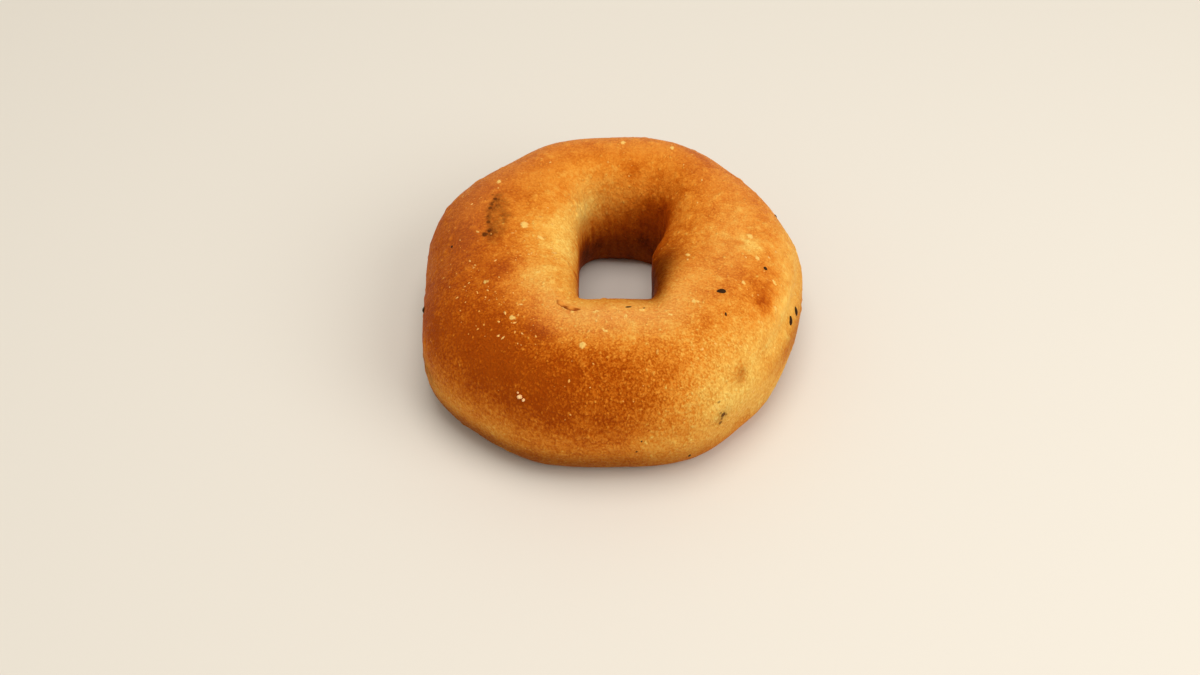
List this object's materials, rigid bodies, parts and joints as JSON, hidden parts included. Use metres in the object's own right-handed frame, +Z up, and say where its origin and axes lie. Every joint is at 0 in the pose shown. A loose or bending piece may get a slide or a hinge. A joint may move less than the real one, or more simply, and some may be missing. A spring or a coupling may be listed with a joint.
{
  "type": "wood-fired bagel",
  "caption": "Baked bread ring with an uneven browned crust, an off-centre hole through its middle, dark seeds and pale blisters, resting on a flat base.",
  "frame": {"origin": "middle of the bagel's box, on the surface it rests on", "axes": "+Z up, out of the top; -Y towards the thick front side; +X to the right as seen from the front"},
  "size_m": [0.1018, 0.1022, 0.0394],
  "materials": {
    "baked_crust": "baked bread crust, satin, golden to deep orange brown with fine blisters",
    "dark_seed": "black seed, dull",
    "pale_blister": "thin pale blister of crust, dull",
    "pale_crumb": "dry crumb, dull",
    "crust_curl": "toasted curl of crust, dull"
  },
  "bodies": {
    "root": {"bagel": "baked_crust"}
  },
  "joints": []
}
